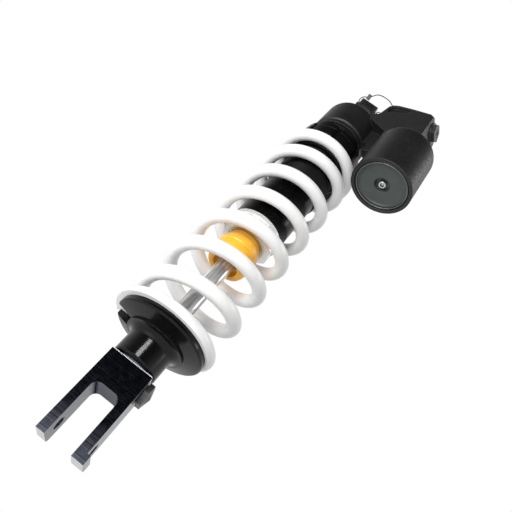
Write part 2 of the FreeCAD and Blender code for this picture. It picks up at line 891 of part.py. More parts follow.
def add_bridge(body):
    """Arm from the head over the reservoir, with a shallow lightening hollow in its front face."""
    arm = swung_sketch(body, "XZ_Plane")
    draw_outline(arm, [
        ("14", "head_top - 8"),
        ("14", "head_top - 0.5"),
        ("31", "head_top + 1.5"),
        ("36", "arm_z + 27"),
        ("41", "arm_z + 31.5"),
        ("50", "arm_z + 31"),
        ("70", "arm_z + 23.5"),
        ("arm_end - 4", "arm_z + 14"),
        ("arm_end", "arm_z + 9"),
        ("arm_end", "reservoir_top - 8"),
        ("56", "reservoir_top - 8"),
        ("56", "reservoir_top + 10"),
        ("26", "head_top - 8"),
    ])
    pad(body, arm, "arm_width", both_ways=True)

    def high_side_edge(box):
        return box.ZMin > size("head_top + 1") and box.ZMax < size("arm_z + 31.6") and not level_across(box)

    soften(body, "Fillet", "arm_edge_round", high_side_edge)
    hollow = swung_sketch(body, "XZ_Plane", "arm_width / 2")
    draw_outline(hollow, [
        ("41", "arm_z + 13"),
        ("41", "arm_z + 20"),
        ("44", "arm_z + 23.5"),
        ("52", "arm_z + 23"),
        ("66", "arm_z + 17.5"),
        ("68", "arm_z + 14"),
        ("65", "arm_z + 10"),
        ("44", "arm_z + 10"),
    ])
    pocket(body, hollow, "hollow_depth")


def level_across(box):
    """Tell an edge that runs across the arm, or belongs to the eye or its neck, from one along its side."""
    on_eye = math.hypot(box.Center.x, box.Center.y) < 30
    return on_eye or (box.ZLength < 0.01 and box.YLength > box.XLength)


def add_rib(body):
    """Upright rib under the arm between head and reservoir, clear of the lock ring below."""
    rib = swung_sketch(body, "XZ_Plane")
    draw_outline(rib, [
        ("head_r - 4", "skirt_step + 3"),
        ("rib_start", "skirt_step - 3"),
        ("rib_start", "rib_low"),
        ("56", "rib_low"),
        ("56", "reservoir_top + 12"),
        ("head_r - 4", "head_top - 12"),
    ])
    pad(body, rib, "rib_width", both_ways=True)


def cut_head_bores(body):
    thread = new_sketch(body, "XY_Plane", "skirt_bottom")
    draw_circle(thread, "ring_bore_r")
    pocket(body, thread, "tube_top + ring_section_r * 2 + 0.15 - skirt_bottom", reverse=True)
    dome = new_sketch(body, "XY_Plane", "tube_top")
    draw_circle(dome, "tube_bore_r")
    pocket(body, dome, "10", reverse=True)
    bore = new_sketch(body, "XY_Plane", "reservoir_bottom")
    draw_circle(bore, "reservoir_bore_r", "reservoir_x", "reservoir_y")
    pocket(body, bore, "reservoir_bore_top - reservoir_bottom", reverse=True)
    mouth = new_sketch(body, "XY_Plane", "reservoir_bottom")
    draw_circle(mouth, "reservoir_bore_r + circlip_wire_r * 2 + 0.4", "reservoir_x", "reservoir_y")
    pocket(body, mouth, "gas_cap_bottom - reservoir_bottom + 0.6", reverse=True)
    valve = swung_sketch(body, "YZ_Plane", "arm_end")
    draw_circle(valve, "adjuster_bore_r", "0", "arm_z")
    pocket(body, valve, "adjuster_depth")
    race = new_sketch(body, "YZ_Plane")
    draw_circle(race, "eye_bore_r", "0", "eye_z")
    pocket(body, race, "eye_half_width * 2 + 2", both_ways=True)
    passage = new_sketch(body, "XY_Plane", "reservoir_bore_top - 1")
    draw_circle(passage, "3", *toward_reservoir("arm_end - 16"))
    pocket(body, passage, "arm_z - reservoir_bore_top", reverse=True)


def make_top_bearing():
    """Race, ball, spacers, seals and circlips, all made about Z and laid along X."""
    race = turned("bearing_race", [
        ("ball_r - 0.7", "-race_half_width"),
        ("eye_bore_r - fit_gap", "-race_half_width"),
        ("eye_bore_r - fit_gap", "race_half_width"),
        ("ball_r - 0.7", "race_half_width"),
    ])
    nodes.remove(race)
    race.Label = "race_blank"
    hollow = doc.addObject("Part::Sphere", "race_hollow")
    hollow.setExpression("Radius", bound("ball_r + run_gap"))
    cut = doc.addObject("Part::Cut", "bearing_race_cut")
    cut.Base = race
    cut.Tool = hollow
    keep(cut, "bearing_race")
    lay_along_x(cut, "0", "0", "eye_z")
    sphere = doc.addObject("Part::Sphere", "ball_blank")
    sphere.setExpression("Radius", bound("ball_r"))
    sleeve = tube("ball_slice", "pin_bore_r", "ball_r + 1", "-ball_half_width", "ball_half_width")
    nodes.remove(sleeve)
    ball = doc.addObject("Part::Common", "bearing_ball")
    ball.Base = sphere
    ball.Tool = sleeve
    keep(ball, "bearing_ball")
    lay_along_x(ball, "0", "0", "eye_z")
    clip_high = "circlip_x + circlip_width"
    groove = new_sketch(doc.getObject("head_casting"), "YZ_Plane", "circlip_x - run_gap")
    draw_circle(groove, "eye_bore_r + circlip_depth + run_gap", "0", "eye_z")
    pocket(doc.getObject("head_casting"), groove, "circlip_width + run_gap * 2", reverse=True)
    groove = new_sketch(doc.getObject("head_casting"), "YZ_Plane", f"-({clip_high} + run_gap)")
    draw_circle(groove, "eye_bore_r + circlip_depth + run_gap", "0", "eye_z")
    pocket(doc.getObject("head_casting"), groove, "circlip_width + run_gap * 2", reverse=True)
    clip = tube("circlip", "circlip_r", "eye_bore_r + circlip_depth", "circlip_x", clip_high)
    gap = new_sketch(clip, "XY_Plane", clip_high)
    draw_outline(gap, [("-2", "0"), ("2", "0"), ("2", "eye_r"), ("-2", "eye_r")])
    pocket(clip, gap, "circlip_width * 2")
    lay_along_x(clip, "0", "0", "eye_z")
    both_sides("eye_circlips", clip)
    spacer = turned("spacer", [
        ("pin_bore_r", "ball_half_width"),
        ("spacer_foot_r - 0.6", "ball_half_width"),
        ("spacer_foot_r", "ball_half_width + 1"),
        ("spacer_foot_r", "eye_half_width + 0.4"),
        ("spacer_r + 0.8", "eye_half_width + 0.4"),
        ("spacer_r + 0.8", "tie_x - tie_r - 0.25"),
        ("spacer_r - spacer_groove", "tie_x - tie_r - 0.25"),
        ("spacer_r - spacer_groove", "tie_x + tie_r + 0.25"),
        ("spacer_r", "tie_x + tie_r + 0.25"),
        ("spacer_r", "spacer_end_x"),
        ("pin_bore_r", "spacer_end_x"),
    ])
    lay_along_x(spacer, "0", "0", "eye_z")
    both_sides("eye_spacers", spacer)
    seal = turned("seal", [
        ("spacer_foot_r + run_gap", "seal_ring_start"),
        ("seal_ring_r", "seal_ring_start"),
        ("seal_ring_r", "eye_half_width - 0.3"),
        ("spacer_foot_r + run_gap", "eye_half_width"),
    ])
    lay_along_x(seal, "0", "0", "eye_z")
    both_sides("eye_seals", seal)


def make_spacer_tie():
    """Thin wire loop from spacer groove to spacer groove, hanging open over the eye, with a small lock.

    It is drawn upright as (across, outward from the bolt axis) and then leant towards the front.
    """
    side = size("tie_x")
    seat = size("tie_seat_r")
    reach = size("tie_reach")
    middle_z = size("eye_z")
    loop = (
        (-side, seat), (-side - 0.8, seat + 4), (-side * 0.93, reach * 0.56), (-side * 0.45, reach * 0.68),
        (side * 0.05, reach * 0.92), (side * 0.7, reach), (side * 1.75, reach * 0.92), (side * 2.2, reach * 0.66),
        (side * 1.7, reach * 0.43), (side + 0.4, seat + 2), (side, seat),
    )
    curve = Part.BSplineCurve()
    curve.interpolate([Vector(across, 0, middle_z + outward) for across, outward in loop])
    path = Part.Wire(curve.toShape())
    start = curve.tangent(curve.FirstParameter)[0]
    circle = Part.Wire(Part.makeCircle(size("tie_r"), Vector(-side, 0, middle_z + seat), start))
    wire = path.makePipeShell([circle], True, False)
    lock = Part.makeBox(4.4, 3.6, 6.5, Vector(-side * 0.45 - 2.2, -1.8, middle_z + reach * 0.68 - 3.2))
    tie = doc.addObject("Part::Feature", "spacer_tie")
    tie.Shape = wire.fuse(lock).rotate(Vector(0, 0, middle_z), Vector(1, 0, 0), size("tie_lean"))
    keep(tie, "spacer_tie")


# ---------------------------------------------------------------- gas side and adjuster


def place_in_reservoir(thing):
    thing.setExpression("Placement.Base.x", bound("reservoir_x"))
    thing.setExpression("Placement.Base.y", bound("reservoir_y"))


def make_gas_side():
    cap = turned("reservoir_cap", [
        ("valve_r + fit_gap", "gas_cap_bottom + gas_cup_depth"),
        ("gas_cup_r", "gas_cap_bottom + gas_cup_depth"),
        ("gas_cup_r + 1", "gas_cap_bottom + gas_cap_recess"),
        ("gas_cap_recess_r", "gas_cap_bottom + gas_cap_recess"),
        ("gas_cap_recess_r + 0.6", "gas_cap_bottom"),
        ("reservoir_bore_r - fit_gap", "gas_cap_bottom"),
        ("reservoir_bore_r - fit_gap", "gas_cap_top"),
        ("valve_r + fit_gap", "gas_cap_top"),
    ])
    ring_low = "gas_ring_z - gas_ring_r - fit_gap"
    ring_high = "gas_ring_z + gas_ring_r + fit_gap"
    ring_root = "reservoir_bore_r - gas_ring_r * 2 - fit_gap * 2"
    groove_out(cap, [
        (ring_root, ring_low), ("reservoir_bore_r + 1", ring_low),
        ("reservoir_bore_r + 1", ring_high), (ring_root, ring_high),
    ])
    place_in_reservoir(cap)
    place_in_reservoir(seal_ring("cap_oring", "reservoir_bore_r - gas_ring_r - fit_gap", "gas_ring_z", "gas_ring_r"))
    place_in_reservoir(seal_ring("cap_circlip", "reservoir_bore_r + 0.2", "circlip_wire_z + 0.2", "circlip_wire_r"))
    valve = turned("gas_valve", [
        ("valve_bore_r", "valve_bottom"),
        ("valve_r - 0.5", "valve_bottom"),
        ("valve_r", "valve_bottom + 0.5"),
        ("valve_r", "valve_top - 1"),
        ("valve_r - 1", "valve_top"),
        ("valve_pin_r + run_gap", "valve_top"),
        ("valve_pin_r + run_gap", "valve_bottom + 5"),
        ("valve_bore_r", "valve_bottom + 5"),
    ])
    place_in_reservoir(valve)
    place_in_reservoir(tube("valve_pin", "0", "valve_pin_r", "valve_bottom + 1", "valve_top + 1"))
    piston = turned("floating_piston", [
        ("0", "floating_bottom + 6"),
        ("floating_r - 5", "floating_bottom + 6"),
        ("floating_r - 4", "floating_bottom"),
        ("floating_r", "floating_bottom"),
        ("floating_r", "floating_top"),
        ("0", "floating_top"),
    ])
    low = "floating_ring_z - gas_ring_r - fit_gap"
    high = "floating_ring_z + gas_ring_r + fit_gap"
    root = "reservoir_bore_r - run_gap - gas_ring_r * 2 - fit_gap"
    groove_out(piston, [(root, low), ("floating_r + 1", low), ("floating_r + 1", high), (root, high)])
    band_root = "floating_r - band_depth"
    groove_out(piston, [
        (band_root, "floating_band_low"), ("floating_r + 1", "floating_band_low"),
        ("floating_r + 1", "floating_band_high"), (band_root, "floating_band_high"),
    ])
    place_in_reservoir(piston)
    place_in_reservoir(seal_ring("floating_piston_oring", "reservoir_bore_r - run_gap - gas_ring_r",
                                 "floating_ring_z", "gas_ring_r"))
    place_in_reservoir(tube("floating_piston_band", "floating_r - band_depth + fit_gap", "floating_band_r",
                            "floating_band_low", "floating_band_high"))


def make_adjuster():
    """Adjuster housing, outer hexagon, inner slotted screw and its needle, laid along the arm."""
    housing = turned("adjuster_body", [
        ("low_speed_r + run_gap", "-adjuster_depth + 4"),
        ("adjuster_bore_r - fit_gap", "-adjuster_depth + 4"),
        ("adjuster_bore_r - fit_gap", "fit_gap"),
        ("adjuster_flange_r", "fit_gap"),
        ("adjuster_flange_r", "adjuster_flange"),
        ("low_speed_r + run_gap", "adjuster_flange"),
    ])
    high_speed = new_body("high_speed_knob")
    hexagon = new_sketch(high_speed, "XY_Plane", "adjuster_flange + run_gap")
    draw_polygon(hexagon, 6, "high_speed_flat")
    draw_circle(hexagon, "low_speed_r + run_gap")
    pad(high_speed, hexagon, "high_speed_length")
    end = "adjuster_flange + run_gap + high_speed_length"
    soften(high_speed, "Chamfer", "0.6", lambda box: near(box.ZMin, end) and near(box.ZMax, end) and box.XLength > 6.5)
    screw = turned("low_speed_screw", [
        ("needle_r + run_gap", "-low_speed_root"),
        ("low_speed_r", "-low_speed_root"),
        ("low_speed_r", "low_speed_length"),
        ("0", "low_speed_length"),
        ("0", "-low_speed_root + 4"),
        ("needle_r + run_gap", "-low_speed_root + 4"),
    ])
    slot = new_sketch(screw, "XY_Plane", "low_speed_length")
    half = "driver_slot_width / 2"
    draw_outline(slot, [
        ("-low_speed_r - 1", f"-{half}"), ("low_speed_r + 1", f"-{half}"),
        ("low_speed_r + 1", half), ("-low_speed_r - 1", half),
    ])
    pocket(screw, slot, "driver_slot_depth")
    needle = turned("adjuster_needle", [
        ("0", "-low_speed_root - needle_length + 2"),
        ("0.3", "-low_speed_root - needle_length + 2"),
        ("needle_r", "-low_speed_root - needle_length + 8"),
        ("needle_r", "-low_speed_root + 2"),
        ("0", "-low_speed_root + 2"),
    ])
    for piece in (housing, high_speed, screw, needle):
        lay_along_arm(piece, "arm_z")


# ---------------------------------------------------------------- build and export


def check(thing):
    """Stop if a finished piece isn't one or more sound solids."""
    shape = thing.Shape
    if thing.State and ("Invalid" in thing.State or "Error" in thing.State):
        raise RuntimeError(f"{thing.Label}: {thing.State}")
    if shape.isNull() or not shape.isValid() or shape.Volume <= 0 or not shape.Solids:
        raise RuntimeError(f"{thing.Label}: shape is null, invalid or has no solid")


def export_all():
    os.makedirs("parts", exist_ok=True)
    for item in doc.Objects:
        if "Invalid" in item.State or "Error" in item.State:
            raise RuntimeError(f"{item.Name}: {item.State}")
    for thing in nodes:
        check(thing)
        thing.Shape.exportStep(f"parts/{thing.Label}.step")
        box = thing.Shape.BoundBox
        print(f"{thing.Label}: {len(thing.Shape.Solids)} solid(s), {thing.Shape.Volume:.0f} mm3,"
              f" z {box.ZMin:.1f} to {box.ZMax:.1f}")
    print(f"{len(nodes)} nodes")


make_clevis()
make_knob()
make_detent()
make_shaft()
make_bell()
make_perch()
make_coil_spring()
make_bump_stop()
make_seal_head()
make_tube()
make_piston_stack()
seal_ring("body_oring", "ring_bore_r - ring_section_r - 0.01", "tube_top + ring_section_r + 0.05", "ring_section_r")
make_spring_seat()
make_notched_ring("preload_ring", "preload_r", "washer_top", "preload_top")
make_notched_ring("lock_ring", "lock_r", "preload_top + lock_gap", "lock_top")
make_head()
make_top_bearing()
make_spacer_tie()
make_gas_side()
make_adjuster()
doc.recompute()
export_all()
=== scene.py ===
"""Looks of the rear shock absorber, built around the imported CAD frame.

Lengths are in metres in the CAD frame: +Z runs up the shock from the lower bolt to the top bolt,
+X runs along both bolts towards the reservoir, and the photographed side faces -Y.
"""
import json
import math
import bmesh
import bpy
from mathutils import Matrix, Vector, noise


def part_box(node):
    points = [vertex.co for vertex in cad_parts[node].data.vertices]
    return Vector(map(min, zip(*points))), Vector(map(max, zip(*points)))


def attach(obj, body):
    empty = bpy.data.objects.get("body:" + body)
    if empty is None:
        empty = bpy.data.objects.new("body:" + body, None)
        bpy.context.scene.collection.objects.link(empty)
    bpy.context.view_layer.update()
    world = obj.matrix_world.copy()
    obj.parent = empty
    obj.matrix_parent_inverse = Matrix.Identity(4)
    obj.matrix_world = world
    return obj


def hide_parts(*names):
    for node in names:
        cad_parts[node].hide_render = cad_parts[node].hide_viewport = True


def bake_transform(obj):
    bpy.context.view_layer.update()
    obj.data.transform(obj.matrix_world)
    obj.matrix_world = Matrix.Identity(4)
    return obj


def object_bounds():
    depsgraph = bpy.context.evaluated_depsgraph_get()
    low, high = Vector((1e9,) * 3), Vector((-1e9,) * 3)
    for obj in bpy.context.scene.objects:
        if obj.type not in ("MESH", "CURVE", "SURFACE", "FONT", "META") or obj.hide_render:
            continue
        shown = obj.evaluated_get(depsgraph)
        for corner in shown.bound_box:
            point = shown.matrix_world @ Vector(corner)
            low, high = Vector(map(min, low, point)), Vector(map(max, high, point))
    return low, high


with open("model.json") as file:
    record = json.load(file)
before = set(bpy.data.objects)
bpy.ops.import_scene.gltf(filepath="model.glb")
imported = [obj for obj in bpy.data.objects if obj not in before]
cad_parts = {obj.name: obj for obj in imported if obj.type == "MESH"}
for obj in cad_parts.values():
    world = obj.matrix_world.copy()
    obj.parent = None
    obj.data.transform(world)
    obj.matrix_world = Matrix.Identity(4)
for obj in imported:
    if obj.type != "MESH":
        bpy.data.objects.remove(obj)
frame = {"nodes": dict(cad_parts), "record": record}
cad_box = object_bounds()
MM = 0.001


# ---------------------------------------------------------------- shader building blocks


class Shader:
    """One material under construction around a Principled surface."""

    def __init__(self, name):
        self.name = name
        self.material = bpy.data.materials.new(name)
        self.material.use_nodes = True
        self.tree = self.material.node_tree
        self.tree.nodes.clear()
        self.surface = self.add("BsdfPrincipled")
        output = self.add("OutputMaterial")
        self.join(self.surface.outputs["BSDF"], output.inputs["Surface"])
        self.place = self.add("TexCoord").outputs["Object"]

    def add(self, kind, **settings):
        """Add a shader node of a kind and set its plain properties."""
        node = self.tree.nodes.new("ShaderNode" + kind)
        for name, value in settings.items():
            setattr(node, name, value)
        return node

    def join(self, source, target):
        self.tree.links.new(source, target)

    def feed(self, socket, value):
        """Set a socket to a plain value, or link it to another node's output."""
        if isinstance(value, bpy.types.NodeSocket):
            self.join(value, socket)
        elif isinstance(value, tuple) and len(value) == 3 and socket.type == "RGBA":
            socket.default_value = (*value, 1.0)
        else:
            socket.default_value = value

    def set(self, **values):
        """Set inputs of the Principled surface: underscores stand for spaces."""
        for name, value in values.items():
            self.feed(self.surface.inputs[name.replace("_", " ")], value)

    def math(self, operation, first, second=0.0):
        """Combine two numbers or outputs by a named operation."""
        node = self.add("Math", operation=operation)
        self.feed(node.inputs[0], first)
        self.feed(node.inputs[1], second)
        return node.outputs[0]

    def remap(self, value, low, high, start=0.3, stop=0.7):
        """Stretch start..stop of a value over low..high, held at both ends."""
        node = self.add("MapRange")
        self.feed(node.inputs["Value"], value)
        for name, number in (("From Min", start), ("From Max", stop), ("To Min", low), ("To Max", high)):
            self.feed(node.inputs[name], number)
        return node.outputs["Result"]

    def blend(self, share, first, second):
        """Mix two colours by a share from 0 to 1."""
        node = self.add("Mix", data_type="RGBA")
        self.feed(node.inputs["Factor"], share)
        self.feed(node.inputs["A"], first)
        self.feed(node.inputs["B"], second)
        return [o for o in node.outputs if o.type == "RGBA"][0]

    def blotches(self, size, detail=4.0, stretch=(1, 1, 1)):
        """Soft cloudy noise whose features have about the given size."""
        spread = self.add("Mapping")
        spread.inputs["Scale"].default_value = [part / size for part in stretch]
        self.join(self.place, spread.inputs["Vector"])
        node = self.add("TexNoise")
        self.join(spread.outputs[0], node.inputs["Vector"])
        self.feed(node.inputs["Scale"], 1.0)
        self.feed(node.inputs["Detail"], detail)
        return node.outputs["Fac"]

    def along(self, direction):
        """Distance along a direction, or outward plus upward for a turned part."""
        parts = self.add("SeparateXYZ")
        self.join(self.place, parts.inputs[0])
        if direction != "turned":
            return parts.outputs[direction]
        flat = self.add("CombineXYZ")
        self.join(parts.outputs["X"], flat.inputs["X"])
        self.join(parts.outputs["Y"], flat.inputs["Y"])
        length = self.add("VectorMath", operation="LENGTH")
        self.join(flat.outputs[0], length.inputs[0])
        return self.math("ADD", length.outputs["Value"], parts.outputs["Z"])

    def tool_lines(self, direction, size):
        """Fine parallel tool marks across a direction, with uneven strength."""
        node = self.add("TexNoise", noise_dimensions="1D")
        self.feed(node.inputs["W"], self.math("DIVIDE", self.along(direction), size))
        self.feed(node.inputs["Scale"], 1.0)
        self.feed(node.inputs["Detail"], 3.0)
        return node.outputs["Fac"]

    def edges(self, radius):
        """Rounded shading on sharp edges; returns the normal and how sharp the place is."""
        round_over = self.add("Bevel", samples=6)
        self.feed(round_over.inputs["Radius"], radius)
        geometry = self.add("NewGeometry")
        dot = self.add("VectorMath", operation="DOT_PRODUCT")
        self.join(round_over.outputs[0], dot.inputs[0])
        self.join(geometry.outputs["Normal"], dot.inputs[1])
        sharp = self.remap(dot.outputs["Value"], 1.0, 0.0, start=0.75, stop=0.995)
        return round_over.outputs[0], sharp

    def relief(self, height, depth, normal):
        """Add bumps of a given depth on top of a normal."""
        node = self.add("Bump")
        self.feed(node.inputs["Height"], height)
        self.feed(node.inputs["Distance"], depth)
        self.feed(node.inputs["Strength"], 1.0)
        self.join(normal, node.inputs["Normal"])
        return node.outputs[0]

    def turned_sheen(self, amount):
        """Stretch reflections round the Z axis, as lathe marks do."""
        tangent = self.add("Tangent", direction_type="RADIAL", axis="Z")
        self.set(Anisotropic=amount, Tangent=tangent.outputs[0])


# ---------------------------------------------------------------- finishes


FINE_PER_PATCH = 9
GLOSSIEST, ROUGHEST = 0.8, 1.25
LINES_GLOSSIEST, LINES_ROUGHEST = 0.85, 1.2
WEAR_START, WEAR_STOP = 0.4, 0.62
COAT_ROUGH_SHARE = 0.4


def finish_surface(name, colour, shade, rough, metallic=0.0, patch=12 * MM, grain=None, grain_depth=0.0,
                   lines=None, line_size=0.3 * MM, line_depth=0.0, edge=0.35 * MM, worn=None, wear=0.0,
                   coat=0.0, sheen=0.0, shine=0.5):
    """Build one procedural finish: patchy colour and gloss, fine relief, rounded and worn edges."""
    shader = Shader(name)
    cloud = shader.blotches(patch)
    fine = shader.blotches(patch / FINE_PER_PATCH, detail=6.0)
    tone = shader.blend(shader.remap(cloud, 0.0, 1.0), colour, shade)
    gloss = shader.remap(fine, rough * GLOSSIEST, min(1.0, rough * ROUGHEST))
    normal, sharp = shader.edges(edge)
    if grain:
        normal = shader.relief(shader.blotches(grain, detail=3.0), grain_depth, normal)
    if lines:
        marks = shader.tool_lines(lines, line_size)
        normal = shader.relief(marks, line_depth, normal)
        gloss = shader.math("MULTIPLY", gloss, shader.remap(marks, LINES_GLOSSIEST, LINES_ROUGHEST))
    if wear > 0:
        chipped = shader.remap(fine, 0.0, wear, start=WEAR_START, stop=WEAR_STOP)
        tone = shader.blend(shader.math("MULTIPLY", sharp, chipped), tone, worn)
    shader.set(Base_Color=tone, Roughness=gloss, Metallic=metallic, Normal=normal,
               Coat_Weight=coat, Coat_Roughness=rough * COAT_ROUGH_SHARE, Specular_IOR_Level=shine)
    if sheen > 0:
        shader.turned_sheen(sheen)
    return shader


def base_colour(shader):
    """The colour that finish_surface gave, for a finish that adds to it."""
    return shader.surface.inputs["Base Color"].links[0].from_socket


def amber_elastomer(name):
    """Semi-gloss moulded elastomer that lets a little light through."""
    shader = finish_surface(name, (1.0, 0.53, 0.05), (0.96, 0.44, 0.03), 0.27, patch=9 * MM,
                            grain=0.7 * MM, grain_depth=0.03 * MM, edge=0.5 * MM)
    shader.set(Subsurface_Weight=0.35, Subsurface_Radius=(1.0, 0.45, 0.1), Subsurface_Scale=2.5 * MM)
    return shader


# Top chamfer band for the painted highlight: clevis top, band height and edge blur.
CLEVIS_TOP, RIM_HEIGHT, RIM_BLUR = 59.5 * MM, 0.95 * MM, 0.1 * MM
EAR_FADE = 27 * MM
CUTTER_PITCH = 1.1 * MM
# Painted reflections on the clevis: the ear tone pales the cutter lines towards the lower end, the end and
# side tones pale the end faces and +X sides.
EAR_LINES_REFLECTION_TONE, END_REFLECTION_TONE = (0.24, 0.26, 0.33), (0.85, 0.86, 0.88)
# The rim tone is a painted highlight on the bare top chamfer.
SIDE_REFLECTION_TONE, RIM_HIGHLIGHT_TONE = (0.26, 0.265, 0.28), (0.95, 0.95, 0.95)
GRAZING_TINT = (0.12, 0.13, 0.15, 1.0)


def milled_anodised(name):
    """Blue-black anodised clevis: cutter lines, painted reflections on its ends and +X sides, a painted
    highlight on its bare top chamfer.
    """
    shader = finish_surface(name, (0.070, 0.078, 0.100), (0.092, 0.10, 0.125), 0.17, metallic=1.0,
                            patch=40 * MM, lines="Z", line_size=1.2 * MM, line_depth=0.0008 * MM,
                            edge=0.3 * MM)
    height = shader.along("Z")
    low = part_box("lower_clevis")[0].z
    # Painted reflection of the floor: paler towards the lower end, carried by the real cutter lines.
    near_end = shader.remap(height, 1.0, 0.0, start=low, stop=low + EAR_FADE)
    cutter = shader.remap(shader.tool_lines("Z", CUTTER_PITCH), 0.3, 1.0, start=0.35, stop=0.65)
    pale = shader.math("MULTIPLY", near_end, cutter)
    facing = shader.add("SeparateXYZ")
    shader.join(shader.add("NewGeometry").outputs["Normal"], facing.inputs[0])
    # Painted reflection: downward end faces get a near-white tone, strongest near the lower end.
    end_face_reflection = shader.remap(facing.outputs["Z"], 1.0, 0.0, start=-0.95, stop=-0.7)
    end_face_reflection = shader.math("MULTIPLY", end_face_reflection, shader.remap(near_end, 0.3, 1.0, start=0.0, stop=0.5))
    # Painted reflection: faces turned to +X get a paler grey.
    side_face_reflection = shader.remap(facing.outputs["X"], 0.0, 1.0, start=0.7, stop=0.95)
    # Painted highlight: a thin near-white band just below the clevis top, on the bare chamfer.
    rim_low = CLEVIS_TOP - RIM_HEIGHT
    above = shader.remap(height, 0.0, 1.0, start=rim_low - RIM_BLUR, stop=rim_low)
    below = shader.remap(height, 1.0, 0.0, start=CLEVIS_TOP - RIM_BLUR, stop=CLEVIS_TOP)
    rim = shader.math("MULTIPLY", above, below)
    tone = base_colour(shader)
    # The painted tones are laid over the base colour and made less metallic, so that they read as pale
    # diffuse colour.
    matt = 0.0
    for share, colour, mattness in (
        (pale, EAR_LINES_REFLECTION_TONE, 0.4),
        (end_face_reflection, END_REFLECTION_TONE, 0.8),
        (side_face_reflection, SIDE_REFLECTION_TONE, 0.8),
        (rim, RIM_HIGHLIGHT_TONE, 1.0),
    ):
        tone = shader.blend(share, tone, colour)
        matt = shader.math("MAXIMUM", matt, shader.math("MULTIPLY", share, mattness))
    shader.set(Base_Color=tone, Metallic=shader.math("SUBTRACT", 1.0, matt), Specular_Tint=GRAZING_TINT)
    return shader


def streaked_chrome(name):
    """Bright hard-chromed shaft with faint grey painted reflections stretched along its length."""
    shader = finish_surface(name, (0.82, 0.82, 0.82), (0.74, 0.74, 0.745), 0.2, metallic=0.65,
                            patch=5 * MM, lines="turned", line_size=0.5 * MM, line_depth=0.003 * MM)
    # Painted reflection: grey stripes stretched along Z stand in for dark surroundings mirrored in the
    # chrome.
    painted_reflection_streaks = shader.remap(shader.blotches(2.2 * MM, stretch=(1, 1, 0.06)), 0.0, 0.8, start=0.45, stop=0.62)
    shader.set(Base_Color=shader.blend(painted_reflection_streaks, base_colour(shader), (0.30, 0.30, 0.31)))
    return shader


def make_materials():
    """One finish for each material slot of the record."""
    bare = (0.62, 0.62, 0.62)
    finishes = [
        milled_anodised("clevis_anodised"),
        finish_surface("carrier_anodised", (0.002, 0.002, 0.0022), (0.004, 0.004, 0.0045), 0.16,
                       lines="turned", line_size=0.4 * MM, line_depth=0.002 * MM,
                       worn=bare, wear=0.2, shine=0.26),
        finish_surface("spring_white", (0.88, 0.88, 0.875), (0.84, 0.84, 0.835), 0.3, patch=16 * MM,
                       grain=1.4 * MM, grain_depth=0.02 * MM, coat=0.35),
        streaked_chrome("shaft_chrome"),
        amber_elastomer("bump_amber"),
        finish_surface("polished_aluminium", (0.90, 0.90, 0.89), (0.84, 0.84, 0.83), 0.2, metallic=0.6,
                       lines="turned", line_size=0.35 * MM, line_depth=0.006 * MM, sheen=0.5),
        finish_surface("tube_black", (0.001, 0.001, 0.0012), (0.003, 0.003, 0.0033), 0.24,
                       lines="turned", line_size=0.3 * MM, line_depth=0.002 * MM,
                       worn=bare, wear=0.06, shine=0.16),
        finish_surface("ring_black", (0.002, 0.002, 0.0022), (0.005, 0.005, 0.0055), 0.3,
                       lines="turned", line_size=0.35 * MM, line_depth=0.004 * MM,
                       worn=bare, wear=0.1, shine=0.2),
        finish_surface("casting_grey", (0.0065, 0.0068, 0.0072), (0.010, 0.0103, 0.0107), 0.46,
                       patch=20 * MM, grain=0.5 * MM, grain_depth=0.02 * MM, edge=1.4 * MM,
                       worn=(0.09, 0.09, 0.09), wear=0.3),
        finish_surface("cap_green_grey", (0.062, 0.074, 0.070), (0.074, 0.086, 0.082), 0.4, metallic=0.35,
                       lines="Z", line_size=0.3 * MM, line_depth=0.002 * MM, worn=bare, wear=0.2),
        finish_surface("knob_grey", (0.03, 0.03, 0.032), (0.045, 0.045, 0.048), 0.4, metallic=0.4,
                       worn=bare, wear=0.3),
        finish_surface("knob_black", (0.050, 0.050, 0.053), (0.068, 0.068, 0.072), 0.3, metallic=0.3,
                       worn=bare, wear=0.3),
        finish_surface("bearing_steel", (0.60, 0.60, 0.61), (0.52, 0.52, 0.53), 0.16, metallic=1.0,
                       grain=0.6 * MM, grain_depth=0.002 * MM),
        finish_surface("plated_steel", (0.66, 0.66, 0.64), (0.56, 0.56, 0.55), 0.22, metallic=1.0,
                       grain=0.5 * MM, grain_depth=0.004 * MM),
        finish_surface("spring_steel", (0.20, 0.20, 0.21), (0.14, 0.14, 0.15), 0.35, metallic=1.0,
                       grain=0.5 * MM, grain_depth=0.004 * MM),
        finish_surface("seal_rubber", (0.012, 0.012, 0.012), (0.02, 0.02, 0.02), 0.6,
                       grain=0.5 * MM, grain_depth=0.015 * MM),
        finish_surface("bush_bronze", (0.45, 0.30, 0.14), (0.36, 0.24, 0.11), 0.3, metallic=1.0),
        finish_surface("piston_alloy", (0.55, 0.55, 0.56), (0.47, 0.47, 0.48), 0.28, metallic=1.0,
                       lines="turned", line_size=0.3 * MM, line_depth=0.003 * MM),
        finish_surface("band_plastic", (0.09, 0.12, 0.09), (0.06, 0.09, 0.06), 0.5,
                       grain=0.6 * MM, grain_depth=0.01 * MM),
        finish_surface("tie_black", (0.05, 0.05, 0.052), (0.08, 0.08, 0.08), 0.35, metallic=0.6),
    ]
    return {shader.name: shader.material for shader in finishes}


def dress_cad_nodes(materials):
    """Give every CAD node the finish of its material slot."""
    for part in frame["record"]["subparts"]:
        node = frame["nodes"][part["node"]]
        node.data.materials.clear()
        node.data.materials.append(materials[part["material_slot"]])


# ---------------------------------------------------------------- mesh helpers


SHARP_ANGLE = math.radians(35)
NOISE_PER_M = 90
ARC_SIDE_SHARE = 0.48


